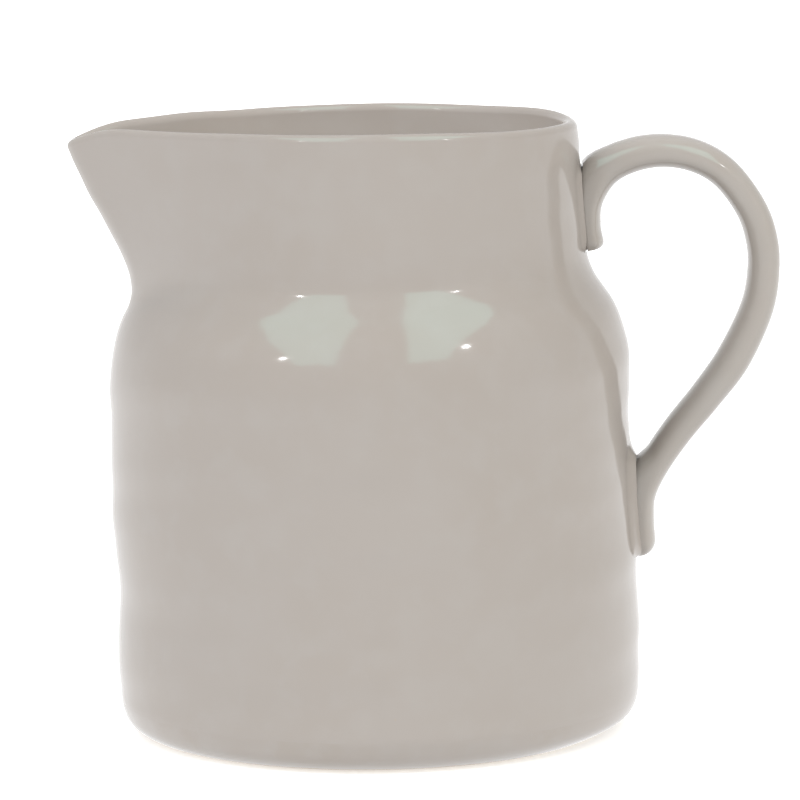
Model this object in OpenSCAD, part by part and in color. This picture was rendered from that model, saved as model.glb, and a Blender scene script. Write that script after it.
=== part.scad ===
// Hand-built ceramic pitcher: a round glazed jar with a drawn-in neck, a broad beak spout
// and a pulled strap handle.
// Millimetres, +Z up. The origin is the centre of the foot's resting face, on the axis of
// the jar. The spout points along -X and the handle along +X, so XZ is the plane of symmetry.
// Every clay piece is a solid of its own. Pieces meet face to face at their luted joints.

/* [Jar] */
// Height of the rim above the table
rim_h = 190; // [184:1:200]
// Outside radius at the rim
rim_r = 64; // [62:0.5:66]
// Outside radius of the belly
belly_r = 81.8; // [80:0.2:84]
// Thickness of the wall
wall_t = 4.6; // [4:0.2:5.4]

/* [Floor and foot] */
// Radius of the rounded bottom corner
corner_r = 11; // [10.5:0.5:13]
// Height of the foot ring
foot_h = 3; // [2:0.5:4]
// Radius of the hollow inside the foot ring
foot_hollow_r = 61; // [56:1:64]
// Thickness of the floor disc
floor_t = 7; // [6:0.5:7.5]
// Radius of the coil pressed into the corner between wall and floor
coil_r = 6; // [4:0.5:8]

/* [Spout] */
// Reach of the beak from the jar's axis, at the rim
beak_reach = 95.2; // [90:0.2:98]
// Rounding of the beak's nose in plan, at the rim
beak_nose_r = 8; // [7:0.5:10]
// How fast the lip droops beyond the neck, in 1/mm
beak_droop = 0.0107; // [0:0.0001:0.015]
// Half the width of the notch cut for the beak, at the rim
notch_half_w = 50; // [49.5:0.5:52]
// Width of the slip seam round the beak
seam_t = 0.8; // [0.5:0.1:1.2]

/* [Handle] */
// Width of the strap at the crown
strap_w = 22; // [19:0.5:26]
// Thickness of the strap at the crown
strap_t = 10; // [8.5:0.25:11]
// Thickness of the slip pressed between the strap's ends and the wall
slip_t = 0.8; // [0.6:0.1:1]

/* [Hidden] */

$fn = 96;
glaze = [0.74, 0.71, 0.67];
bare_clay = [0.82, 0.76, 0.68];

floor_z = foot_h + floor_t;
foot_round = 0.8;
lip_r = wall_t / 2;
lip_z = rim_h - lip_r;
neck_r = rim_r + 2.2;
shoulder_h = rim_h * 0.60;
waist_h = rim_h * 0.815;
notch_z = rim_h * 0.7105;
notch_floor_half_w = 7;
root_nose_r = 24;
droop_start = rim_r + 12;

// Outside radius against height, from the floor joint to the lip. The belly is nearly
// straight, the shoulder turns in above it, and the neck draws in a little to the rim.
wall_outline = [
    [floor_z, belly_r - 0.05],
    [floor_z + 14, belly_r],
    [shoulder_h * 0.45, belly_r - 0.4],
    [shoulder_h * 0.80, belly_r - 0.9],
    [shoulder_h, belly_r - 0.9],
    [shoulder_h + 9.5, belly_r - 2.4],
    [shoulder_h + 16.5, belly_r - 4.8],
    [waist_h - 17.5, belly_r - 8.6],
    [waist_h - 12.5, neck_r + 3.9],
    [waist_h - 6, neck_r + 1.2],
    [waist_h + 4, neck_r - 0.6],
    [waist_h + 18, neck_r - 1.5],
    [rim_h, rim_r]
];

// Reach of the beak's nose against height. It leaves the shoulder at the notch's floor.
beak_root = belly_r - 3;
beak_outline = [
    [notch_z - 4, belly_r - 6.2],
    [notch_z + 1, belly_r - 6.6],
    [notch_z + 6, belly_r - 5.8],
    [notch_z + 15, beak_root],
    [notch_z + 30, beak_root + (beak_reach - beak_root) * 0.41],
    [rim_h - 10, beak_root + (beak_reach - beak_root) * 0.80],
    [rim_h, beak_reach]
];

// Heights of the wall's sections, and the number of steps up the notch and over the lip.
wall_rows = 44;
notch_rows = 18;
lip_steps = 8;
wall_heights = [for (i = [0 : wall_rows]) lerp(floor_z, lip_z, i / wall_rows)];

// Centreline of the strap in the XZ plane, from its cut end on the neck, over the crown
// and down to its tail on the belly.
strap_spine = [
    [rim_r + 5.2, 151.2],
    [rim_r + 4.4, 158.5],
    [rim_r + 4.5, 167],
    [rim_r + 9.5, 176.2],
    [rim_r + 23.6, 181.2],
    [rim_r + 38, 177.8],
    [rim_r + 52, 166],
    [rim_r + 57.7, 144.5],
    [rim_r + 51, 121.2],
    [rim_r + 38.1, 102.3],
    [rim_r + 26.4, 87.2],
    [rim_r + 21.7, 76],
    [rim_r + 20.7, 66],
    [rim_r + 21.1, 54.4]
];
// Share of strap_w and of strap_t at each point of the spine.
strap_width = [1.05, 1.0, 0.98, 1.0, 1.0, 1.0, 0.98, 0.95, 0.93, 0.92, 0.94, 0.98, 1.02, 1.05];
strap_thick = [0.64, 0.66, 0.76, 0.95, 1.0, 1.0, 1.0, 1.0, 1.0, 1.0, 0.98, 0.86, 0.72, 0.74];
strap_fullness = 0.7;
strap_steps = 5;
strap_sides = 20;

// Heights that the slip under the strap covers at each end, and its margin round the strap.
upper_slip = [149.5, 177.5];
lower_slip = [53, 85];
slip_margin = 1.4;

// ---- Curves -------------------------------------------------------------------------

function lerp(a, b, t) = a + (b - a) * t;

function reversed(list) = [for (i = [len(list) - 1 : -1 : 0]) list[i]];

// Slope of a table of [x, y] points at point i, for the cubic through them.
function slope(table, i) =
    let (a = max(i - 1, 0), b = min(i + 1, len(table) - 1))
    (table[b][1] - table[a][1]) / (table[b][0] - table[a][0]);

// Value at x of the smooth cubic through a table of [x, y] points, with x rising.
function curve(table, x, i = 0) =
    i < len(table) - 2 && x > table[i + 1][0] ? curve(table, x, i + 1) :
    let (
        span = table[i + 1][0] - table[i][0],
        t = (x - table[i][0]) / span,
        m0 = slope(table, i) * span,
        m1 = slope(table, i + 1) * span
    )
    table[i][1] * (2 * pow(t, 3) - 3 * pow(t, 2) + 1)
        + m0 * (pow(t, 3) - 2 * pow(t, 2) + t)
        + table[i + 1][1] * (3 * pow(t, 2) - 2 * pow(t, 3))
        + m1 * (pow(t, 3) - pow(t, 2));

// Catmull-Rom point on a list of points, or of numbers, at u from 0 to len(list) - 1.
function spline(list, u) =
    let (
        n = len(list) - 1,
        i = min(floor(u), n - 1),
        t = u - i,
        p1 = list[i],
        p2 = list[i + 1],
        p0 = i > 0 ? list[i - 1] : 2 * p1 - p2,
        p3 = i < n - 1 ? list[i + 2] : 2 * p2 - p1
    )
    0.5 * (2 * p1 + (p2 - p0) * t + (2 * p0 - 5 * p1 + 4 * p2 - p3) * t * t
        + (3 * p1 - p0 - 3 * p2 + p3) * t * t * t);

// ---- Jar ----------------------------------------------------------------------------

function wall_r(z) = curve(wall_outline, z);

// The rounded bottom corner of the jar, between two heights.
function corner_arc(z0, z1, steps) = [
    for (i = [0 : steps])
        let (z = lerp(z0, z1, i / steps), drop = corner_r - z)
        [belly_r - corner_r + sqrt(corner_r * corner_r - drop * drop), z]
];

// The jar's outer skin, as [radius, height], moved outwards by out.
function skin_line(out) = [for (z = wall_heights) [wall_r(z) + out, z]];

// Half circle over the wall's top, as [height, depth below the outer skin].
lip_arc = [
    for (i = [1 : lip_steps - 1])
        let (a = 180 * i / lip_steps)
        [lip_z + lip_r * sin(a), lip_r * (1 - cos(a))]
];

// Up the outside, over the lip and down the inside, as [height, depth below the skin].
function wall_loop(heights) = concat(
    [for (z = heights) [z, 0]],
    lip_arc,
    [for (z = reversed(heights)) [z, wall_t]]
);

// ---- Beak ---------------------------------------------------------------------------

// Heights up the side of the U-shaped notch, closest together round its floor.
function notch_heights(inset) = [
    for (i = [0 : notch_rows])
        lerp(notch_z + inset, lip_z, pow(i / notch_rows, 1.4))
];

// Half the notch's width at height z, with its whole edge drawn in by inset.
function notch_half(z, inset) =
    let (u = (rim_h - z) / (rim_h - notch_z - inset))
    max(notch_floor_half_w, (notch_half_w - inset) * pow(1 - pow(u, 3), 1 / 3));

// Distance from the plane x = 0 to the beak's skin at y, where the section is a large
// circle on the axis joined by its tangents to a small circle at the nose.
function beak_x(y, big, nose, reach) =
    let (
        centre = reach - nose,
        cos_a = min(1, (big - nose) / centre),
        sin_a = sqrt(1 - cos_a * cos_a)
    )
    abs(y) <= nose * sin_a ? centre + sqrt(nose * nose - y * y) :
    abs(y) <= big * sin_a ? (big - abs(y) * sin_a) / cos_a :
    sqrt(big * big - y * y);

function nose_r(z) = lerp(root_nose_r, beak_nose_r, (z - notch_z) / (rim_h - notch_z));

function droop(x) = beak_droop * pow(max(0, x - droop_start), 2);

// A point of the beak at height z, depth below the outer skin, and across at y.
function beak_point(z, depth, y) =
    let (
        big = wall_r(z),
        reach = max(curve(beak_outline, z), big),
        x = beak_x(y, big - depth, nose_r(z) - depth, reach - depth)
    )
    [-x, y, z - droop(x)];

// ---- Strap --------------------------------------------------------------------------

function strap_tangent(u) =
    let (
        last = len(strap_spine) - 1,
        d = spline(strap_spine, min(u + 0.01, last)) - spline(strap_spine, max(u - 0.01, 0))
    )
    d / norm(d);

// Cosine and sine pulled out towards a square, so that the oval has full shoulders.
function full(v) = sign(v) * pow(abs(v), strap_fullness);

// One ring of the strap: a flattened oval across the spine at u, drawn in by share.
function strap_ring(u, share) =
    let (
        p = spline(strap_spine, u),
        t = strap_tangent(u),
        half_w = strap_w * spline(strap_width, u) / 2 * share,
        half_t = strap_t * spline(strap_thick, u) / 2 * share
    )
    [
        for (k = [0 : strap_sides - 1])
            let (a = 360 * (k + 0.5) / strap_sides, c = full(cos(a)) * half_t)
            [p[0] + c * t[1], full(sin(a)) * half_w, p[1] - c * t[0]]
    ];

// Rounded rectangle, half_w each way in its first direction and from z0 to z1 in its second.
function rounded_box(half_w, z0, z1, r) = [
    for (corner = [[1, 1], [-1, 1], [-1, -1], [1, -1]], i = [0 : 6])
        let (
            start = corner[0] > 0 ? (corner[1] > 0 ? 0 : 270) : (corner[1] > 0 ? 90 : 180),
            a = start + 15 * i
        )
        [
            corner[0] * (half_w - r) + r * cos(a),
            (z0 + z1) / 2 + corner[1] * ((z1 - z0) / 2 - r) + r * sin(a)
        ]
];

// ---- Helpers that draw --------------------------------------------------------------

// Closed solid through rings of equal length. Each end is closed by strips that join the
// two halves of its ring, point to point.
module skin_of(rings) {
    n = len(rings[0]);
    last = len(rings) - 1;
    middle = floor(n / 2);
    sides = [
        for (i = [0 : last - 1], k = [0 : n - 1])
            let (a = i * n + k, b = i * n + (k + 1) % n)
            each [[a, b, b + n], [a, b + n, a + n]]
    ];
    strips = [for (k = [0 : middle - 2]) [k + 1, k, n - 1 - k, n - 2 - k]];
    point_cap = n % 2 == 1 ? [[middle, middle - 1, middle + 1]] : [];
    start_cap = concat(strips, point_cap);
    end_cap = [for (face = start_cap) [for (k = reversed(face)) k + last * n]];
    polyhedron([for (ring = rings) each ring], concat(sides, start_cap, end_cap), 6);
}

// The whole jar wall, before the notch is cut.
module wall_ring() {
    rotate_extrude()
        polygon([for (p = wall_loop(wall_heights)) [wall_r(p[0]) - p[1], p[0]]]);
}

// U-shaped prism that cuts the wall on the spout's side, with its edge drawn in by inset.
module notch_prism(inset) {
    side = [for (z = notch_heights(inset)) [notch_half(z, inset), z]];
    right = concat(side, [[side[notch_rows][0], rim_h + 1]]);
    left = [for (p = reversed(right)) [-p[0], p[1]]];
    translate([-beak_reach, 0, 0])
        rotate([90, 0, 90])
            linear_extrude(beak_reach)
                polygon(concat(right, left));
}

// Slip pressed between one end of the strap and the wall, over a span of heights.
module handle_slip(span) {
    half_w = strap_w / 2 + slip_margin;
    intersection() {
        rotate_extrude()
            polygon(concat(skin_line(slip_t), reversed(skin_line(0))));
        rotate([90, 0, 90])
            linear_extrude(belly_r + slip_t)
                polygon(rounded_box(half_w, span[0], span[1], half_w / 2));
    }
}

// ---- Pieces -------------------------------------------------------------------------

module foot_ring() {
    color(bare_clay)
        rotate_extrude()
            polygon(concat(
                [[foot_hollow_r, foot_h], [foot_hollow_r, foot_round]],
                [[foot_hollow_r + foot_round, 0]],
                corner_arc(0, foot_h, 5)
            ));
}

module floor_disc() {
    color(glaze)
        rotate_extrude()
            polygon(concat([[0, foot_h]], corner_arc(foot_h, floor_z, 8), [[0, floor_z]]));
}

module floor_coil() {
    inner_r = wall_r(floor_z) - wall_t;
    color(glaze)
        difference() {
            rotate_extrude()
                polygon(concat(
                    [[inner_r + 1, floor_z], [inner_r + 1, floor_z + coil_r]],
                    [
                        for (i = [0 : 8])
                            let (a = 90 * i / 8)
                            [
                                inner_r - coil_r * (1 - cos(a)),
                                floor_z + coil_r * (1 - sin(a))
                            ]
                    ]
                ));
            wall_ring();
        }
}

module jar_wall() {
    color(glaze)
        difference() {
            wall_ring();
            notch_prism(0);
        }
}

module beak_slip_seam() {
    color(glaze)
        intersection() {
            wall_ring();
            difference() {
                notch_prism(0);
                notch_prism(seam_t);
            }
        }
}

module beak_spout() {
    half_columns = 14;
    spread = [for (i = [-half_columns : half_columns]) sign(i) * pow(abs(i) / half_columns, 1.2)];
    rings = [
        for (s = spread)
            [
                for (p = wall_loop(notch_heights(seam_t)))
                    beak_point(p[0], p[1], s * notch_half(min(p[0], lip_z), seam_t))
            ]
    ];
    color(glaze)
        skin_of(rings);
}

module strap_handle() {
    last = len(strap_spine) - 1;
    start = [strap_ring(0, 0.86), strap_ring(0.05, 0.96)];
    body = [for (i = [1 : last * strap_steps - 1]) strap_ring(i / strap_steps, 1)];
    end = [strap_ring(last - 0.08, 0.93), strap_ring(last, 0.66)];
    color(glaze)
        difference() {
            skin_of(concat(start, body, end));
            rotate_extrude()
                polygon(concat([[0, floor_z]], skin_line(slip_t), [[0, lip_z]]));
        }
}

module upper_handle_slip() {
    color(glaze)
        handle_slip(upper_slip);
}

module lower_handle_slip() {
    color(glaze)
        handle_slip(lower_slip);
}

foot_ring();
floor_disc();
floor_coil();
jar_wall();
beak_spout();
beak_slip_seam();
strap_handle();
upper_handle_slip();
lower_handle_slip();
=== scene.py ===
# A hand-built ceramic pitcher: a glazed jar, a broad beak spout and a pulled strap handle.
# Shapes are worked out in millimetres, from the frame's boxes and the tables beside each piece.
import math
import bpy
import numpy as np
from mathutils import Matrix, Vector


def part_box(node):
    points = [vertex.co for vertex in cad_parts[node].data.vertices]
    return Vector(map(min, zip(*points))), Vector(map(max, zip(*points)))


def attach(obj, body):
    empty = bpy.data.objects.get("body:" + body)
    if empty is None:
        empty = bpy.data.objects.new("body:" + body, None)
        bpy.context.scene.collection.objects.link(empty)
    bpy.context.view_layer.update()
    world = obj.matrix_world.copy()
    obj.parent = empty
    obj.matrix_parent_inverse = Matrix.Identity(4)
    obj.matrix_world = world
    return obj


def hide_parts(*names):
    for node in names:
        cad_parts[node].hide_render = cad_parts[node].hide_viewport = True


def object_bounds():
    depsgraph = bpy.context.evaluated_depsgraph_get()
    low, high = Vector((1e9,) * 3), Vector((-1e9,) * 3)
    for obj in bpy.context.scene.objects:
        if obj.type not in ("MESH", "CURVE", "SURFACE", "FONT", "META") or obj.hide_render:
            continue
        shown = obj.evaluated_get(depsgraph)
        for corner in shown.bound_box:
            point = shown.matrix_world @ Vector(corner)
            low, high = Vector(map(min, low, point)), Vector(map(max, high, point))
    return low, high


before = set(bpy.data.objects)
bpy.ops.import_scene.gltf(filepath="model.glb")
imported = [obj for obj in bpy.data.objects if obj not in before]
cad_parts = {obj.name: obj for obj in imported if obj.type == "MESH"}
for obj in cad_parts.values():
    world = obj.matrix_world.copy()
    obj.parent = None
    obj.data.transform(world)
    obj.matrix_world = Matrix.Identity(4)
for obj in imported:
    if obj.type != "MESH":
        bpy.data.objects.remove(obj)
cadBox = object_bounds()
mm = 0.001
print("frame loaded")


def boxOf(node):
    # lowest and highest corner of a piece of the frame, in millimetres
    low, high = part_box(node)
    return np.array(low) / mm, np.array(high) / mm


floorZ = boxOf("jar_wall")[0][2]  # the jar's wall stands on the floor disc here
rimZ = boxOf("jar_wall")[1][2]
bellyR = boxOf("jar_wall")[1][1]
footZ = boxOf("floor_disc")[0][2]
notchZ = boxOf("beak_slip_seam")[0][2]
seamWidth = boxOf("beak_spout")[0][2] - notchZ
coilReach = boxOf("floor_coil")[1][2] - floorZ


def lerp(a, b, share):
    return a + (b - a) * share


def smoothStep(low, high, x):
    share = np.clip((x - low) / (high - low), 0, 1)
    return share * share * (3 - 2 * share)


def throughTable(table, x):
    # value at x of the smooth curve through a table of (x, value) rows
    at, value = np.array(table, float).T
    last = len(at) - 1
    before = np.maximum(np.arange(last + 1) - 1, 0)
    after = np.minimum(np.arange(last + 1) + 1, last)
    slope = (value[after] - value[before]) / (at[after] - at[before])
    x = np.clip(x, at[0], at[-1])
    i = np.clip(np.searchsorted(at, x, side="right") - 1, 0, last - 1)
    span = at[i + 1] - at[i]
    t = (x - at[i]) / span
    return (
        value[i] * (2 * t**3 - 3 * t**2 + 1)
        + slope[i] * span * (t**3 - 2 * t**2 + t)
        + value[i + 1] * (3 * t**2 - 2 * t**3)
        + slope[i + 1] * span * (t**3 - t**2)
    )


def throughPoints(points, u):
    # place at u, from 0 to the last index, on the smooth curve through a list of points
    points = np.array(points, float)
    ends = np.concatenate([2 * points[:1] - points[1:2], points, 2 * points[-1:] - points[-2:-1]])
    i = np.minimum(np.floor(u).astype(int), len(points) - 2)
    t = (u - i).reshape((-1,) + (1,) * (points.ndim - 1))
    a, b, c, d = ends[i], ends[i + 1], ends[i + 2], ends[i + 3]
    return 0.5 * (2 * b + (c - a) * t + (2 * a - 5 * b + 4 * c - d) * t**2
                  + (3 * b - a - 3 * c + d) * t**3)


jar = {
    "wall": 4.6,  # thickness of the clay
    "cornerRound": 11.0,  # rounding of the bottom corner
    "cornerJoin": (9, 20),  # heights between which the corner gives way to the outline
    "outline": [  # height, outer radius
        (10, 81.75), (24, 81.8), (51.3, 81.4), (91.2, 80.9), (114, 80.9), (123.5, 79.4),
        (130.5, 77.0), (137.35, 73.2), (142.35, 70.1), (148.85, 67.4), (158.85, 65.6),
        (172.85, 64.7), (190, 64.0)],
    "lean": [  # height, how far the wall stands off its axis towards the handle
        (0, 0.85), (20, 0.75), (38, 0.65), (50, 0.45), (62, -0.15), (75, -0.7), (92, -0.95),
        (122, -0.95), (130, -0.5), (138, 0.0), (150, 0.4), (165, 0.55), (190, 0.5)],
    "breadth": [  # height, how much fuller the thrown wall is than its outline
        (0, 0.0), (4, -0.3), (7.5, -0.75), (12, -0.45), (20, -0.15), (28, 0.0), (60, 0.1),
        (90, 0.2), (110, 0.05), (128, 0.25), (134, 0.1), (138.5, -0.6), (144, -1.05),
        (150, -0.65), (157, -0.2), (165, 0.0), (190, -0.1)],
    "dents": [  # degrees round from the beak, height, depth, half width in degrees, half height
        (0, 45, 1.1, 35, 7), (0, 67, -0.5, 40, 8), (180, 98, 0.6, 30, 6), (200, 0, 3.4, 34, 4)],
    "shoulderDrop": (-60, 3.4, 50, 138, 22),  # degrees round, drop, half width, height, half height
    "markDepth": (8, 18),  # depth in the clay at which the hand's marks fade, and are gone
    "ripples": [  # depth, turns round, waves up the wall, start in turns
        (0.12, 1, 9.0, 0.10), (0.10, 3, 6.5, 0.62), (0.10, 5, 4.0, 0.33), (0.05, 4, 15.0, 0.81)],
    "rimWave": [  # height, waves round, start in turns
        (0.12, 3, 0.55), (0.08, 7, 0.30)],
    "rimRises": [  # degrees round from the beak, rise, half width in degrees
        (0, -1.3, 7), (28, 0.9, 13), (150, 0.7, 22), (-90, 2.2, 50)],
    "waveStart": 150,  # height above which the rim wavers
    "wallSteps": 4,  # places through the wall where it is cut
    "lipSteps": 12,
    "columns": 168,
    "rows": 56,
}
beak = {
    "outline": [  # height, reach of the nose from the axis
        (131, 75.6), (136, 75.2), (141, 76.0), (150, 78.8), (165, 85.5), (180, 91.9), (190, 95.2)],
    "rootRound": 24.0,  # rounding of the nose in plan, at the notch's floor
    "noseRound": 8.0,  # and at the rim
    "blend": 0.5,  # how softly the nose leaves the shoulder
    "lowestRise": -0.3,  # where the rounding stops growing, in heights of the notch above its floor
    "widestFlank": 1.2,  # radians past the flank's start, kept short of a right angle
    "droop": 0.0107,  # how fast the nose's rim sinks, by the square of its reach past droopStart
    "droopStart": 76.0,
    "droopRise": 20.0,  # height above the notch's floor over which the sinking sets in
    "notchHalf": 50.0,  # half the width of the notch at the rim
    "notchFloorHalf": 7.0,
    "notchSteps": 8,  # places across the notch's floor
    "crowding": 1.4,  # above 1 the rows crowd together towards the notch's floor
    "evenShare": 0.35,  # share of the columns' spread that is even; the rest crowds at the nose
    "columns": 60,
    "rows": 40,
}
lipR = jar["wall"] / 2
lipZ = rimZ - lipR


def wallRadius(z):
    z = np.asarray(z, float)
    drop = np.clip(jar["cornerRound"] - z, 0, jar["cornerRound"])
    corner = bellyR - jar["cornerRound"] + np.sqrt(jar["cornerRound"] ** 2 - drop**2)
    return lerp(corner, throughTable(jar["outline"], z), smoothStep(*jar["cornerJoin"], z))


def beakSection(turn, z, depth):
    # distance from the axis: a large circle, joined by its tangents to a small one at the nose
    radius = wallRadius(z)
    past = throughTable(beak["outline"], z) - radius
    reach = radius + (past + np.sqrt(past**2 + beak["blend"] ** 2)) / 2
    rise = np.clip((z - notchZ) / (rimZ - notchZ), beak["lowestRise"], 1)
    nose = lerp(beak["rootRound"], beak["noseRound"], rise)
    centre = reach - nose
    leave = np.arccos(np.clip((radius - nose) / centre, -1, 1))
    big, small = radius - depth, nose - depth
    noseEnd = np.arctan2(small * np.sin(leave), centre + small * np.cos(leave))
    flank = big / np.cos(np.minimum(np.abs(turn - leave), beak["widestFlank"]))
    chord = np.sqrt(np.maximum(small**2 - (centre * np.sin(turn)) ** 2, 0))
    tip = centre * np.cos(turn) + chord
    return np.where(turn >= leave, big, np.where(turn >= noseEnd, flank, tip))


def apart(angle, degrees):
    # degrees from one place round the jar to another
    return (np.degrees(angle) - degrees + 180) % 360 - 180


def handMarks(angle, z):
    # how far the hand-thrown wall stands out of true, outwards
    shift = throughTable(jar["breadth"], z)
    for deep, turns, waves, start in jar["ripples"]:
        shift = shift + deep * np.sin(turns * angle + 2 * math.pi * (waves * z / rimZ + start))
    for degrees, height, deep, halfWidth, halfHeight in jar["dents"]:
        near = (apart(angle, degrees) / halfWidth) ** 2 + ((z - height) / halfHeight) ** 2
        shift = shift - deep * np.exp(-near)
    return shift


def clayPoint(angle, z, depth):
    # a point of the clay: angle round from the beak, height, and depth under the outer skin
    angle, z, depth = np.broadcast_arrays(*(np.asarray(v, float) for v in (angle, z, depth)))
    turn = np.radians(np.abs(apart(angle, 0)))
    degrees, drop, halfWidth, height, halfHeight = jar["shoulderDrop"]
    near = (apart(angle, degrees) / halfWidth) ** 2 + ((z - height) / halfHeight) ** 2
    out = beakSection(turn, z + drop * np.exp(-near), depth)
    out = out + handMarks(angle, z) * (1 - smoothStep(*jar["markDepth"], depth))
    past = np.maximum(out * np.cos(angle) - beak["droopStart"], 0)
    x = throughTable(jar["lean"], z) - out * np.cos(angle)
    fall = beak["droop"] * past**2 * smoothStep(notchZ, notchZ + beak["droopRise"], z)
    wave = sum(h * np.sin(n * angle + 2 * math.pi * s) for h, n, s in jar["rimWave"])
    wave = wave + sum(h * np.exp(-(apart(angle, d) / w) ** 2) for d, h, w in jar["rimRises"])
    wave = wave * smoothStep(jar["waveStart"], rimZ, z)
    return np.stack([x, out * np.sin(angle), z - fall + wave], -1)


def clayPatch(angle, z, depth, up, inward):
    # points and outward normals over a grid; up and inward give the way along each column
    step, turn, clear = 0.02, 0.0005, 0.5  # small steps to take the slopes by, clear of the axis
    shallow = np.minimum(depth, wallRadius(z) - clear)
    along = (clayPoint(angle, z + step * up, shallow + step * inward)
             - clayPoint(angle, z - step * up, shallow - step * inward))
    across = clayPoint(angle + turn, z, shallow) - clayPoint(angle - turn, z, shallow)
    normal = np.cross(along, across)
    normal /= np.linalg.norm(normal, axis=-1, keepdims=True)
    return clayPoint(angle, z, depth), normal


def ringNormals(points, toward):
    # normals of a grid whose columns close on themselves, on the side that faces toward
    along, across = np.gradient(points, axis=0), np.gradient(points, axis=1)
    across[:, 0] = across[:, -1] = points[:, 1] - points[:, -2]
    normal = np.cross(across, along)
    normal *= np.sign((normal * toward).sum(-1, keepdims=True))
    return normal / np.maximum(np.linalg.norm(normal, axis=-1, keepdims=True), 1e-9)


def column(*values):
    # numbers as the rows of a grid, so that they spread over its columns
    return [np.asarray(v, float).reshape(-1, 1) for v in values]


def overTheLip(heights):
    # up the outside, over the lip and down the inside: height, depth, and the way along
    turn = np.linspace(0, math.pi, jar["lipSteps"] + 1)[1:-1].reshape(-1, 1)
    heights = np.atleast_2d(np.asarray(heights, float).T).T
    flat, arc = 0 * heights, turn + 0 * heights[:1]
    return (
        np.concatenate([heights, lipZ + lipR * np.sin(arc), heights[::-1]]),
        np.concatenate([flat, lipR * (1 - np.cos(arc)), flat + jar["wall"]]),
        np.concatenate([flat + 1, np.cos(arc), flat - 1]),
        np.concatenate([flat, np.sin(arc), flat]),
    )


weldPlaces = 3  # decimals of a millimetre within which corners are welded
sharpCosine = 0.97  # an edge is sharp where the normals beside it have a smaller cosine


class Shell:
    # gathers grids of points, whose rows run along and whose columns run round a piece,
    # and welds them into one closed mesh

    def __init__(self):
        self.points, self.normals, self.quads, self.count = [], [], [], 0

    def grid(self, points, normals=None):
        rows, columns = points.shape[:2]
        index = np.arange(rows * columns).reshape(rows, columns) + self.count
        self.quads.append(np.stack(
            [index[:-1, :-1], index[1:, :-1], index[1:, 1:], index[:-1, 1:]], -1).reshape(-1, 4))
        self.points.append(points.reshape(-1, 3))
        blank = np.zeros((rows * columns, 3))
        self.normals.append(blank if normals is None else normals.reshape(-1, 3))
        self.count += rows * columns

    def piece(self, name, replaced, material):
        points, normals = np.concatenate(self.points), np.concatenate(self.normals)
        quads = np.concatenate(self.quads)
        keys = np.round(points, weldPlaces) + 0.0  # + 0.0 makes -0 a 0
        _, first, welded = np.unique(keys, axis=0, return_index=True, return_inverse=True)
        faces, bends = [], []
        for quad in quads:
            ring = [i for i in range(4) if welded[quad[i]] != welded[quad[i - 1]]]
            if len(ring) > 2:
                faces.append([int(welded[quad[i]]) for i in ring])
                bends.append([normals[quad[i]] for i in ring])
        kept = points[first]
        volume = sum(np.dot(kept[f[0]], np.cross(kept[f[i]], kept[f[i + 1]]))
                     for f in faces for i in range(1, len(f) - 1))
        if volume < 0:  # inside out
            faces, bends = [f[::-1] for f in faces], [b[::-1] for b in bends]
        mesh = bpy.data.meshes.new(name)
        mesh.from_pydata((kept * mm).tolist(), [], faces)
        mesh.polygons.foreach_set("use_smooth", [True] * len(faces))
        mesh.update()
        if any(n.any() for n in self.normals):
            corners = [[Vector(n) if n.any() else p.normal.copy() for n in b]
                       for p, b in zip(mesh.polygons, bends)]
            seen = {}
            for face, bend in zip(faces, corners):
                for i, start in enumerate(face):
                    end = (i + 1) % len(face)
                    pair = (bend[i], bend[end]) if start < face[end] else (bend[end], bend[i])
                    seen.setdefault((min(start, face[end]), max(start, face[end])), []).append(pair)
            for edge in mesh.edges:
                sides = seen[tuple(sorted(edge.vertices))]
                edge.use_edge_sharp = any(a.dot(b) < sharpCosine for a, b in zip(*sides[:2]))
            mesh.normals_split_custom_set([n for bend in corners for n in bend])
        mesh.materials.append(material)
        made = bpy.data.objects.new(name, mesh)
        bpy.context.scene.collection.objects.link(made)
        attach(made, "root")
        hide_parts(replaced)
        print("built", name, len(faces), "faces")


class Wire:
    # a socket of a node tree; arithmetic on it adds Math nodes

    def __init__(self, tree, socket=None):
        self.tree, self.socket = tree, socket

    def node(self, kind, settings=None, sockets=None, output=0):
        # a new node: its settings first, then the values or wires of its sockets
        made = self.tree.nodes.new(kind)
        for name, value in (settings or {}).items():
            setattr(made, name, value)
        for name, value in (sockets or {}).items():
            if isinstance(value, Wire):
                self.tree.links.new(value.socket, made.inputs[name])
            else:
                made.inputs[name].default_value = value
        return Wire(self.tree, made.outputs[output])

    def math(self, operation, first, second):
        return self.node("ShaderNodeMath", {"operation": operation}, {0: first, 1: second})

    def __add__(self, other):
        return self.math("ADD", self, other)

    __radd__ = __add__

    def __sub__(self, other):
        return self.math("SUBTRACT", self, other)

    def __rsub__(self, other):
        return self.math("SUBTRACT", other, self)

    def __mul__(self, other):
        return self.math("MULTIPLY", self, other)

    __rmul__ = __mul__


def newMaterial(name, fixed):
    # a material with the fixed values of its surface, its surface node, and a wire to build from
    material = bpy.data.materials.new(name)
    material.use_nodes = True
    surface = material.node_tree.nodes["Principled BSDF"]
    for socket, value in fixed.items():
        surface.inputs[socket].default_value = value
    return material, surface, Wire(material.node_tree)


def plug(wire, surface, socket):
    wire.tree.links.new(wire.socket, surface.inputs[socket])


def noise(place, scale, detail=2.0, rough=0.5):
    return place.node("ShaderNodeTexNoise", None,
                      {"Vector": place, "Scale": scale, "Detail": detail, "Roughness": rough})


def between(wire, low, high):
    # how far a value has gone from low to high, smoothly, from 0 to 1
    return wire.node("ShaderNodeMapRange", {"interpolation_type": "SMOOTHSTEP"},
                     {"Value": wire, "From Min": low, "From Max": high})


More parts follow.
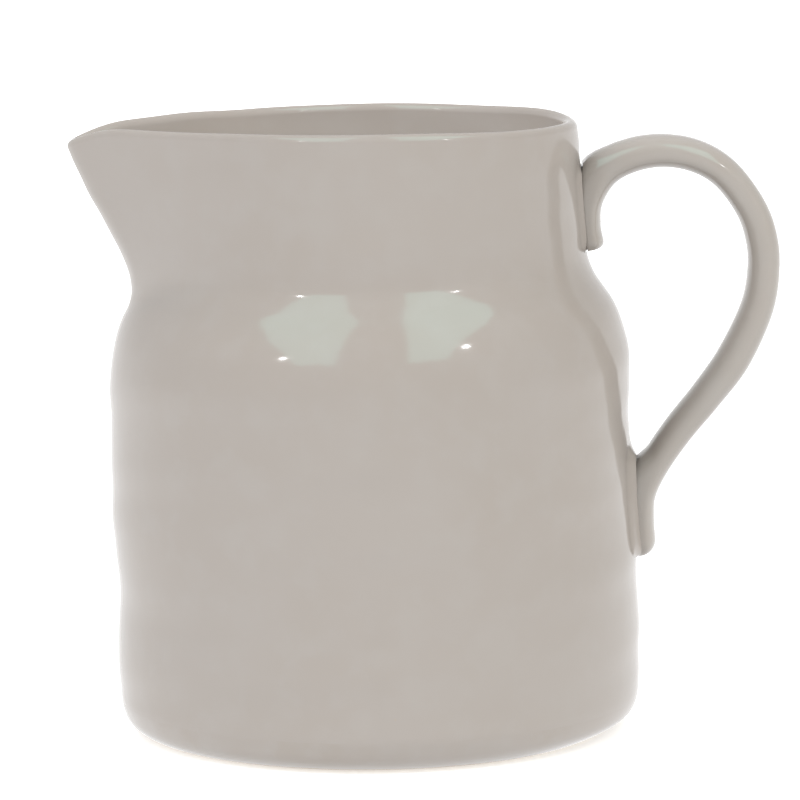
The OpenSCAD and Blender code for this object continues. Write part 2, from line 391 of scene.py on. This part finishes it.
def blendColour(share, first, second):
    return share.node("ShaderNodeMix", {"data_type": "RGBA"}, {0: share, 6: first, 7: second}, 2)


glazeLook = {
    "colour": (0.328, 0.299, 0.276, 1),
    "cool": (0.336, 0.311, 0.290, 1),  # where the glaze is thick
    "warm": (0.321, 0.290, 0.264, 1),  # where the clay shows through it
    "roughness": 0.065,
    "cloudRough": 0.05,  # roughness that the clouding and the mottling add
    "mottleRough": 0.03,
    "cloud": 20.0,  # the broad clouding of the colour, per metre
    "cloudRange": (0.30, 0.70),  # from warm to plain
    "mottle": 90.0,  # the finer mottling
    "mottleRange": (0.40, 0.75),  # from plain to cool
    "coolShare": 0.5,
    "pinholes": 55.0,
    "pinholeSize": (0.012, 0.030),
    "pinholeShade": 0.5,
    "pinholeDepth": 0.5,
    "patches": 40.0,  # the few patches that have pinholes
    "patchRange": (0.60, 0.64),
    "waver": 140.0,  # the slow waver of the glaze's surface
    "waverDepth": 0.6,
    "orangePeel": 420.0,  # and its fine one
    "peelDepth": 0.12,
    "bump": 0.16,
    "relief": 0.0004,  # metres
}
clayLook = {
    "colour": (0.46, 0.40, 0.33, 1),
    "dark": (0.37, 0.31, 0.25, 1),
    "roughness": 0.72,
    "grain": 900.0,
    "grainRange": (0.35, 0.65),
    "grainDepth": 2.0,
    "glazeLine": (0.0006, 0.0011),  # where the glaze begins over the resting face, in metres
    "lineWaver": 60.0,
    "lineWander": 0.0006,
}
# the handle's glaze is the jar's glaze painted a little lighter: painted light, making up for the
# light the strap gets less of; its clouding and waver are finer
handlePaintedLightLook = dict(
    glazeLook, colour=(0.338, 0.312, 0.287, 1), cool=(0.342, 0.322, 0.301, 1),
    warm=(0.331, 0.302, 0.275, 1), cloud=34.0, waver=190.0)
insideLook = dict(
    glazeLook, warm=(0.314, 0.281, 0.252, 1), roughness=0.12, cloud=30.0, mottle=140.0)


def glazeMaterial(name, look, bareFoot=None):
    # glaze over clay; bareFoot gives the look of the clay where the glaze is wiped away
    material, surface, wire = newMaterial(name, {"IOR": 1.5})
    place = wire.node("ShaderNodeTexCoord", output=3)
    cloud = noise(place, look["cloud"], 3)
    mottle = noise(place, look["mottle"], 3)
    tone = blendColour(between(cloud, *look["cloudRange"]), look["warm"], look["colour"])
    cooler = between(mottle, *look["mottleRange"]) * look["coolShare"]
    tone = blendColour(cooler, tone, look["cool"])
    speck = place.node("ShaderNodeTexVoronoi", None, {"Vector": place, "Scale": look["pinholes"]})
    rare = between(noise(place, look["patches"], 0), *look["patchRange"])
    pin = (1 - between(speck, *look["pinholeSize"])) * rare
    tone = blendColour(pin * look["pinholeShade"], tone, clayLook["dark"])
    rough = look["roughness"] + cloud * look["cloudRough"] + mottle * look["mottleRough"]
    height = (noise(place, look["waver"], 2) * look["waverDepth"]
              + noise(place, look["orangePeel"], 1) * look["peelDepth"]
              - pin * look["pinholeDepth"])
    if bareFoot:
        grain = noise(place, bareFoot["grain"], 4, 0.7)
        up = place.node("ShaderNodeSeparateXYZ", None, {0: place}, 2)
        wander = bareFoot["lineWander"]
        line = up + noise(place, bareFoot["lineWaver"]) * wander - wander / 2
        bare = 1 - between(line, *bareFoot["glazeLine"])
        clay = blendColour(between(grain, *bareFoot["grainRange"]),
                           bareFoot["dark"], bareFoot["colour"])
        tone = blendColour(bare, tone, clay)
        rough = rough + bare * (bareFoot["roughness"] - look["roughness"])
        height = height + bare * grain * bareFoot["grainDepth"]
    plug(tone, surface, "Base Color")
    plug(rough, surface, "Roughness")
    bump = place.node("ShaderNodeBump", None,
                      {"Height": height, "Strength": look["bump"], "Distance": look["relief"]})
    plug(bump, surface, "Normal")
    return material


glaze = glazeMaterial("warm_grey_glaze", glazeLook)
handlePaintedLightGlaze = glazeMaterial("handle_glaze_painted_lighter", handlePaintedLightLook)
insideGlaze = glazeMaterial("inside_glaze", insideLook)
footClay = glazeMaterial("bare_foot_clay", glazeLook, clayLook)
print("materials made")

angleShare = np.linspace(0, 1, jar["columns"] + 1)
floorShare = np.linspace(0, 1, beak["notchSteps"] + 1)


def notchHeights(inset):
    # heights up the side of the U-shaped notch, closest together round its floor
    return lerp(notchZ + inset, lipZ, np.linspace(0, 1, beak["rows"] + 1) ** beak["crowding"])


def edgeAngle(z, depth, inset):
    # angle of the notch's edge, with the whole edge drawn in by inset
    fall = (rimZ - np.minimum(z, lipZ)) / (rimZ - notchZ - inset)
    half = (beak["notchHalf"] - inset) * np.cbrt(np.maximum(1 - fall**3, 0))
    return np.arcsin(np.maximum(half, beak["notchFloorHalf"]) / (wallRadius(z) - depth))


def edgeButt(shell, inset, side, facing):
    # the flat cut through the wall along one side of the notch; facing is +1 away from the beak
    turn = np.linspace(0, math.pi / 2, jar["lipSteps"] // 2 + 1)[1:]
    heights = notchHeights(inset)
    z = np.concatenate([heights, lipZ + lipR * np.sin(turn)])
    outer = np.concatenate([0 * heights, lipR * (1 - np.cos(turn))])
    z, outer = column(z, outer)
    share = np.linspace(0, 1, jar["wallSteps"])[::1 if facing > 0 else -1]
    depth = lerp(outer, jar["wall"] - outer, share)
    shell.grid(clayPoint(side * edgeAngle(z, depth, inset), z, depth))


def floorButt(shell, inset, share, upwards):
    # the flat cut across the notch's floor
    depth, = column(np.linspace(0, jar["wall"], jar["wallSteps"])[::1 if upwards else -1])
    z = notchZ + inset + 0 * depth
    edge = edgeAngle(z, depth, inset)
    shell.grid(clayPoint(lerp(-edge, edge, share), z, depth))


def jarWall():
    shell = Shell()
    heights = np.linspace(floorZ, notchZ, jar["rows"] + 1)
    for depth, way in ((0, 1), (jar["wall"], -1)):
        edge = edgeAngle(notchZ, depth, 0)
        angles = np.concatenate([lerp(edge, 2 * math.pi - edge, angleShare),
                                 2 * math.pi + lerp(-edge, edge, floorShare[1:])])
        z, = column(heights[::way])
        shell.grid(*clayPatch(angles, z, depth + 0 * z, way, 0))
    depth, = column(np.linspace(jar["wall"], 0, jar["wallSteps"]))
    edge = edgeAngle(notchZ, depth, 0)
    angles = np.concatenate([lerp(edge, 2 * math.pi - edge, angleShare),
                             2 * math.pi + lerp(-edge, edge, floorShare[1:])], 1)
    shell.grid(clayPoint(angles, floorZ, depth))
    z, depth, up, inward = overTheLip(notchHeights(0))
    edge = edgeAngle(z, depth, 0)
    shell.grid(*clayPatch(lerp(edge, 2 * math.pi - edge, angleShare), z, depth, up, inward))
    floorButt(shell, 0, floorShare, True)
    edgeButt(shell, 0, 1, -1)
    edgeButt(shell, 0, -1, 1)
    shell.piece("glazed_jar_wall", "jar_wall", glaze)


def beakSpout():
    shell = Shell()
    share = np.linspace(-1, 1, beak["columns"] + 1)
    share = beak["evenShare"] * share + (1 - beak["evenShare"]) * share**3
    z, depth, up, inward = overTheLip(notchHeights(seamWidth))
    edge = edgeAngle(z, depth, seamWidth)
    shell.grid(*clayPatch(edge * share, z, depth, up, inward))
    floorButt(shell, seamWidth, (share + 1) / 2, False)
    edgeButt(shell, seamWidth, 1, 1)
    edgeButt(shell, seamWidth, -1, -1)
    shell.piece("glazed_beak_spout", "beak_spout", glaze)


def beakSeam():
    shell = Shell()
    insets = np.linspace(0, seamWidth, 3)
    z, depth, up, inward = overTheLip(np.stack([notchHeights(i) for i in insets], 1))
    edge = edgeAngle(z, depth, insets)
    shell.grid(*clayPatch(edge[:, ::-1], z[:, ::-1], depth[:, ::-1], up[:, ::-1], inward[:, ::-1]))
    shell.grid(*clayPatch(-edge, z, depth, up, inward))
    for depth, way in ((0, 1), (jar["wall"], -1)):
        inset, = column(insets[::way])
        z = notchZ + inset
        edge = edgeAngle(z, depth, inset)
        shell.grid(*clayPatch(lerp(-edge, edge, floorShare), z, depth + 0 * z, way, 0))
    floorButt(shell, 0, floorShare, False)
    floorButt(shell, seamWidth, floorShare, True)
    for side in (1, -1):
        edgeButt(shell, 0, side, side)
        edgeButt(shell, seamWidth, side, -side)
    shell.piece("glazed_beak_seam", "beak_slip_seam", glaze)


jarWall()
beakSpout()
beakSeam()


foot = {
    "hollow": 61.0,  # radius of the hollow inside the foot ring
    "innerRound": 0.8,
    "columns": 180,
    "cornerRows": 7,
    "rows": 5,  # over each of its other faces
}
disc = {
    "ridge": 0.3,  # height of the spiral left by the fingers on the inside floor
    "pitch": 8.5,
    "fadeIn": (2, 14),  # distance from the middle at which the spiral begins, and is full
    "fadeOut": (60, 66),
    "rows": 62,
    "underRows": 14,
    "cornerRows": 8,
}
coil = {
    "pressed": [(0.35, 9, 0.2), (0.2, 23, 0.6)],  # finger marks: depth, marks round, start in turns
    "roundRows": 10,
    "flatRows": 4,
}
roundAngles = np.linspace(0, 2 * math.pi, foot["columns"] + 1)


def turnedPatch(shell, z, radius, up, inward):
    # part of a turned piece, through rows of height and radius
    z, radius, up, inward = (v if np.ndim(v) > 1 else column(v)[0] for v in (z, radius, up, inward))
    z = z + 0 * radius
    depth = wallRadius(z) - radius
    spread = 0 * roundAngles
    shell.grid(*clayPatch(roundAngles + 0 * depth, z + spread, depth + spread, up, inward))


def cornerRows(low, high, steps):
    # heights up the rounded bottom corner, evenly spaced round it
    turn = [math.acos(1 - h / jar["cornerRound"]) for h in (low, high)]
    return jar["cornerRound"] * (1 - np.cos(np.linspace(*turn, steps)))


def floorDisc():
    shell = Shell()
    corner = cornerRows(footZ, floorZ, disc["cornerRows"])
    turnedPatch(shell, footZ, wallRadius(footZ) * np.linspace(0, 1, disc["underRows"]), 0, -1)
    turnedPatch(shell, corner, wallRadius(corner), 1, 0)
    radius, = column(wallRadius(floorZ) * np.linspace(1, 0, disc["rows"]))
    spiral = np.sin(2 * math.pi * radius / disc["pitch"] + roundAngles)
    fade = smoothStep(*disc["fadeIn"], radius) * (1 - smoothStep(*disc["fadeOut"], radius))
    top = clayPoint(roundAngles, floorZ, wallRadius(floorZ) - radius)
    top[..., 2] += disc["ridge"] * spiral * fade
    shell.grid(top, ringNormals(top, (0, 0, 1)))
    shell.piece("glazed_floor_disc", "floor_disc", insideGlaze)


def floorCoil():
    shell = Shell()
    reach = coilReach + sum(
        d * np.sin(n * roundAngles + 2 * math.pi * s) for d, n, s in coil["pressed"])
    turn, = column(np.linspace(0, math.pi / 2, coil["roundRows"]))
    inner = wallRadius(floorZ) - jar["wall"]
    z = floorZ + reach * (1 - np.sin(turn))
    face = wallRadius(z) - jar["wall"] - reach * (1 - np.cos(turn))
    turnedPatch(shell, z, face, -np.cos(turn), np.sin(turn))
    share, = column(np.linspace(0, 1, coil["flatRows"]))
    turnedPatch(shell, floorZ, inner - reach * (1 - share), 0, -1)
    z = floorZ + reach * share
    turnedPatch(shell, z, wallRadius(z) - jar["wall"], 1, 0)
    shell.piece("glazed_floor_coil", "floor_coil", insideGlaze)


def footRing():
    shell = Shell()
    hollow, soft = foot["hollow"], foot["innerRound"]
    turn = np.linspace(0, math.pi / 2, foot["rows"])
    corner = cornerRows(0, footZ, foot["cornerRows"])
    turnedPatch(shell, np.array([footZ, soft]), hollow, -1, 0)
    turnedPatch(shell, soft * (1 - np.sin(turn)), hollow + soft * (1 - np.cos(turn)),
                -np.cos(turn), -np.sin(turn))
    turnedPatch(shell, 0, np.linspace(hollow + soft, wallRadius(0), foot["rows"]), 0, -1)
    turnedPatch(shell, corner, wallRadius(corner), 1, 0)
    turnedPatch(shell, footZ, np.linspace(wallRadius(footZ), hollow, foot["rows"]), 0, 1)
    shell.piece("bare_foot_ring", "foot_ring", footClay)


floorDisc()
floorCoil()
footRing()


strap = {
    "width": 22.0,
    "thick": 10.0,
    "fullness": 0.78,  # 1 is an ellipse, less is fuller at its shoulders
    "wallFullness": 0.3,  # the same on the side that lies on the wall
    "wallPress": 0.9,  # extra thickness on that side, which the wall then presses flat
    "slip": 0.8,  # thickness of the slip under its ends
    "rows": [  # out from the axis, height, share of the width, share of the thickness
        (69.9, 150.2, 1.05, 0.56), (68.5, 157.5, 1.00, 0.58), (68.8, 165.6, 0.98, 0.72),
        (72.9, 174.6, 1.00, 1.06), (81.1, 178.8, 1.00, 1.04), (91.0, 180.1, 1.00, 1.00),
        (101.2, 178.2, 1.00, 1.00), (110.0, 172.8, 0.98, 0.98), (117.3, 163.2, 0.97, 0.98),
        (120.9, 154.2, 0.96, 1.00), (122.0, 144.0, 0.95, 1.00), (119.9, 130.8, 0.94, 1.02),
        (112.6, 115.1, 0.92, 1.06), (104.0, 103.3, 0.92, 0.99), (94.9, 92.2, 0.93, 0.95),
        (88.0, 82.0, 0.96, 0.90), (84.6, 73.2, 0.98, 0.74), (84.2, 65.5, 1.00, 0.66),
        (84.8, 53.5, 1.03, 0.68)],
    "startHug": (17.0, 30.0),  # how far along from an end its wall side lies flat, and is free
    "tailHug": (22.0, 33.0),
    "startRound": (1.8, 3.5),  # rounding of the cut end, through the thickness and the width
    "tailRound": (4.6, 5.5),
    "wrapLength": 22.0,  # how far along from an end it still wraps round the wall
    "wrapRadius": 75.0,
    "pressReach": 1.5,  # how near the slip its surface is pressed onto it, and how softly
    "pressSoft": 0.3,
    "spacing": 1.6,
    "endRows": [0, 0.12, 0.35, 0.7, 1.2, 1.8, 2.6, 3.5, 4.6, 5.8],  # distances from each end
    "evenFrom": 7.0,  # and where the even spacing begins
    "capRings": [0, 0.35, 0.65, 0.85, 0.95],  # shares of the end's outline that close it
    "sides": 44,
}


def strapStations():
    # places along the strap, in steps of its own length, closest together at its ends
    fine = np.linspace(0, len(strap["rows"]) - 1, 2001)  # close enough to measure the length by
    line = throughPoints(np.array(strap["rows"])[:, :2], fine)
    length = np.concatenate([[0], np.cumsum(np.linalg.norm(np.diff(line, axis=0), axis=1))])
    close, start = np.array(strap["endRows"]), strap["evenFrom"]
    even = np.linspace(start, length[-1] - start, int(length[-1] / strap["spacing"]))
    at = np.concatenate([close, even, length[-1] - close[::-1]])
    return np.interp(at, length, fine), at, length[-1]


def roundedEnd(distance, half, rounding):
    # share of a half size that is left at a distance from a rounded end
    short = np.clip(rounding - distance, 0, rounding)
    return 1 - (rounding - np.sqrt(rounding**2 - short**2)) / half


def ontoWall(points):
    # presses points that lie inside the jar, or its slip, out onto it
    angle = np.arctan2(points[..., 1], -points[..., 0])
    wall = clayPoint(angle, points[..., 2], -strap["slip"])
    reach = np.hypot(points[..., 0], points[..., 1])
    least = np.hypot(wall[..., 0], wall[..., 1])
    pressed = (reach + least + np.sqrt((reach - least) ** 2 + strap["pressSoft"] ** 2)) / 2
    moved = points.copy()
    near = reach - least < strap["pressReach"]
    moved[..., :2] *= (np.where(near, pressed, reach) / reach)[..., None]
    return moved


def strapHandle():
    u, at, length = strapStations()
    rows = throughPoints(strap["rows"], u)
    nudge = 0.01
    ahead = throughPoints(strap["rows"], np.minimum(u + nudge, len(strap["rows"]) - 1))
    behind = throughPoints(strap["rows"], np.maximum(u - nudge, 0))
    way = (ahead - behind)[:, :2]
    way /= np.linalg.norm(way, axis=1, keepdims=True)
    halfWidth = rows[:, 2] * strap["width"] / 2
    halfThick = rows[:, 3] * strap["thick"] / 2
    thickLeft = roundedEnd(at, 2 * halfThick, strap["startRound"][0])
    tailLeft = roundedEnd(length - at, 2 * halfThick, strap["tailRound"][0])
    widthLeft = (roundedEnd(at, halfWidth, strap["startRound"][1])
                 * roundedEnd(length - at, halfWidth, strap["tailRound"][1]))
    shift = halfThick * (thickLeft - tailLeft)  # an end is rounded on its free side
    halfThick = halfThick * thickLeft * tailLeft
    halfWidth = halfWidth * widthLeft
    bend = np.exp(-((np.minimum(at, length - at) / strap["wrapLength"]) ** 2))
    hug = np.stack([1 - smoothStep(*strap["startHug"], at),
                    1 - smoothStep(*strap["tailHug"], length - at)], 1)
    turn = np.linspace(0, 2 * math.pi, strap["sides"] + 1)
    onWall = hug[:, :1] * (np.cos(turn) < 0) + hug[:, 1:] * (np.cos(turn) > 0)
    fullness = lerp(strap["fullness"], strap["wallFullness"], onWall)
    across = np.sign(np.sin(turn)) * np.abs(np.sin(turn)) ** fullness
    through = np.sign(np.cos(turn)) * np.abs(np.cos(turn)) ** strap["fullness"]
    through = through * (1 + strap["wallPress"] * onWall)

    def ring(share):
        deep = column(shift)[0] + column(halfThick * share)[0] * through
        side = column(halfWidth * share)[0] * across
        x = rows[:, :1] + deep * way[:, 1:] - column(bend)[0] * side**2 / (2 * strap["wrapRadius"])
        z = rows[:, 1:2] - deep * way[:, :1]
        return np.stack([x, side, z], -1)

    body = ring(1)
    start = np.stack([ring(s)[0] for s in strap["capRings"]])
    tail = np.stack([ring(s)[-1] for s in strap["capRings"][::-1]])
    shell = Shell()
    shell.grid(ontoWall(np.concatenate([start, body, tail])))
    shell.piece("pulled_strap_handle", "strap_handle", handlePaintedLightGlaze)


slips = {
    "upper_handle_slip": {"heights": (150.6, 174.0), "halfWidth": 10.9, "corner": 3.0,
                          "margin": (5.0, 4.5, 1.2), "bead": 1.0},  # margin beside, above, below
    "lower_handle_slip": {"heights": (53.9, 85.0), "halfWidth": 10.9, "corner": 5.0,
                          "margin": (8.0, 8.0, 1.0), "bead": 1.9},
}
slipSteps = 9  # rows up the bead, and places along each side of the pad
slipHollow = 2.2  # 1 is a straight slope from the wall to the bead, more is hollower
padRings = [1, 0.93, 0.7, 0.4, 0]  # shares of the pad's outline, from its edge to its middle


def padOutline():
    # round the pad: which corner each place belongs to, and which way is outwards there
    corners = [(1, 1), (-1, 1), (-1, -1), (1, -1)]
    centre, outward = [], []
    for i, corner in enumerate(corners):
        turn = np.radians(np.linspace(90 * i, 90 * i + 90, slipSteps))
        centre.append(np.tile(corner, (slipSteps, 1)))
        outward.append(np.stack([np.cos(turn), np.sin(turn)], 1))
        share, = column(np.linspace(0, 1, slipSteps)[1:-1])
        centre.append(lerp(np.array(corner), np.array(corners[(i + 1) % 4]), share))
        outward.append(np.tile(outward[-1][-1], (slipSteps - 2, 1)))
    centre, outward = np.concatenate(centre), np.concatenate(outward)
    return np.append(centre, centre[:1], 0), np.append(outward, outward[:1], 0)


def handleSlip(node, size):
    # a pad under the strap, whose edge is smoothed out onto the wall round it
    low, high = size["heights"]
    centre, outward = padOutline()
    halves = np.array([size["halfWidth"], (high - low) / 2]) - size["corner"]
    beside, above, below = size["margin"]
    margin = np.stack([np.full(len(outward), beside), np.where(outward[:, 1] > 0, above, below)], 1)

    def contour(edge, shrink=1.0):
        spread = centre * halves + outward * (size["corner"] + edge * margin)
        return spread * shrink + [0, (low + high) / 2]

    def onWall(places, height):
        angle = math.pi - np.arcsin(places[..., 0] / wallRadius(places[..., 1]))
        return clayPoint(angle, places[..., 1], -column(height)[0])

    rise = np.linspace(0, 1, slipSteps)
    fillet = onWall(np.array([contour(1 - r) for r in rise]), size["bead"] * rise**slipHollow)
    shell = Shell()
    shell.grid(fillet, ringNormals(fillet, (1, 0, 0)))
    heights = [size["bead"]] + [strap["slip"]] * (len(padRings) - 1)
    shell.grid(onWall(np.array([contour(0, ring) for ring in padRings]), heights))
    under = np.array([contour(1, ring) for ring in padRings[::-1]])
    shell.grid(onWall(under, 0 * np.array(heights)))
    shell.piece("glazed_" + node, node, glaze)


strapHandle()
for node, size in slips.items():
    handleSlip(node, size)


room = {
    "floorSize": 40.0,
    "floorDrop": 0.0002,  # just under the foot
    "floorColour": (0.93, 0.93, 0.93, 1),
    "floorTint": (0.94, 0.94, 0.93, 1),  # clouded into its colour
    "floorCloud": 3.0,
    "floorRough": 0.9,
    "floorGlow": 0.35,
    "ambient": (0.57, 1.31),  # from above, and thrown back from below
    "horizon": 0.35,  # how far either side of level the one gives way to the other
    "keyDistance": 2.0,
    "keys": [  # degrees to the right of the camera, degrees up, spread, strength, colour
        ("left_key", -58, 33, 55, 1.75, (0.99, 1.0, 1.0)),
        ("right_key", 58, 33, 55, 1.75, (1.0, 0.985, 0.92)),
        ("top_key", 0, 72, 60, 0.45, (1.0, 1.0, 1.0)),
        ("back_fill", 180, 40, 60, 1.5, (1.0, 1.0, 1.0))],
    "softBoxes": [  # place, width, length, degrees turned, brightness; both hang level
        ("left_soft_box", (-0.84, -1.18, 1.6), 0.88, 2.5, -16, 1.9),
        ("right_soft_box", (0.88, -1.22, 1.6), 0.92, 2.6, 15, 2.1),
    ],
    "softColour": (0.45, 1.0, 0.88),
    "mouthFill": (0.165, 0.02, 0.055),  # height, radius and strength of the lamp in the mouth
    "bulbs": [  # degrees to the right of the camera, degrees up, distance, radius, brightness
        ("left_bulb", -43, 33, 1.5, 0.018, 260),
        ("right_bulb", 45, 33, 1.5, 0.018, 260),
    ],
}
view = {"distance": 1.8, "elevation": 8.27, "roll": 0.668, "lens": 259.2, "sensor": 36,
        "aim": (0.00825, 0, 0.10272)}
middle = (cadBox[0] + cadBox[1]) / 2


def around(target, azimuth, elevation, distance):
    # a place at a distance from the target; azimuth 0 is in front of the pitcher
    a, e = math.radians(azimuth), math.radians(elevation)
    way = Vector((math.sin(a) * math.cos(e), -math.cos(a) * math.cos(e), math.sin(e)))
    return Vector(target) + way * distance


def addThing(name, data, place, target=None):
    made = bpy.data.objects.new(name, data)
    made.location = place
    if target is not None:
        made.rotation_euler = (Vector(target) - Vector(place)).to_track_quat("-Z", "Y").to_euler()
    bpy.context.scene.collection.objects.link(made)
    return made


# the keys light without a reflection, the soft boxes and bulbs are seen only as reflections;
# the power of a panel or a bulb is its brightness by pi by its area
for name, azimuth, elevation, spread, strength, colour in room["keys"]:
    lamp = bpy.data.lights.new(name, "SUN")
    lamp.energy, lamp.angle, lamp.color = strength, math.radians(spread), colour
    place = around(middle, azimuth, elevation, room["keyDistance"])
    addThing(name, lamp, place, middle).visible_glossy = False
for name, place, width, length, turned, bright in room["softBoxes"]:
    lamp = bpy.data.lights.new(name, "AREA")
    lamp.shape, lamp.size, lamp.size_y = "RECTANGLE", width, length
    lamp.energy, lamp.color = bright * math.pi * (width * length), room["softColour"]
    panel = addThing(name, lamp, place)
    panel.rotation_euler.z = math.radians(turned)
    panel.visible_diffuse = False
height, radius, strength = room["mouthFill"]
lamp = bpy.data.lights.new("mouth_fill", "POINT")
lamp.shadow_soft_size, lamp.energy = radius, strength
fill = addThing("mouth_fill", lamp, (0, 0, height))
fill.visible_glossy = fill.visible_camera = False
for name, azimuth, elevation, distance, radius, bright in room["bulbs"]:
    lamp = bpy.data.lights.new(name, "POINT")
    lamp.shadow_soft_size = radius
    lamp.energy = bright * math.pi * (4 * math.pi * radius**2)
    addThing(name, lamp, around(middle, azimuth, elevation, distance)).visible_diffuse = False

world = bpy.data.worlds.new("pale_room")
world.use_nodes = True
background = world.node_tree.nodes["Background"]
background.inputs["Color"].default_value = (1, 1, 1, 1)
above, below = room["ambient"]
skyWire = Wire(world.node_tree)
height = skyWire.node("ShaderNodeSeparateXYZ", None, {0: skyWire.node("ShaderNodeTexCoord")}, 2)
rise = between(height, -room["horizon"], room["horizon"])
plug(below + rise * (above - below), background, "Strength")
bpy.context.scene.world = world

half = room["floorSize"] / 2
floorMesh = bpy.data.meshes.new("pale_floor")
floorMesh.from_pydata([(-half, -half, 0), (half, -half, 0), (half, half, 0), (-half, half, 0)],
                      [], [(0, 1, 2, 3)])
floorMaterial, floorSurface, floorWire = newMaterial(
    "pale_floor", {"Roughness": room["floorRough"], "IOR": 1.2,
                   "Emission Color": room["floorColour"], "Emission Strength": room["floorGlow"]})
floorPlace = floorWire.node("ShaderNodeTexCoord", output=3)
floorTone = blendColour(
    noise(floorPlace, room["floorCloud"]), room["floorColour"], room["floorTint"])
plug(floorTone, floorSurface, "Base Color")
floorMesh.materials.append(floorMaterial)
floorThing = addThing("pale_floor", floorMesh, (0, 0, -room["floorDrop"]))
floorThing.visible_diffuse = False  # the light from below comes from the room itself
floorThing.visible_glossy = False

camera = bpy.data.cameras.new("camera")
camera.lens, camera.sensor_width = view["lens"], view["sensor"]
cameraObject = addThing(
    "camera", camera, around(view["aim"], 0, view["elevation"], view["distance"]), view["aim"])
cameraObject.rotation_euler.rotate_axis("Z", -math.radians(view["roll"]))
bpy.context.scene.camera = cameraObject
bpy.context.scene.view_settings.view_transform = "Standard"
print("room, lights and camera set")
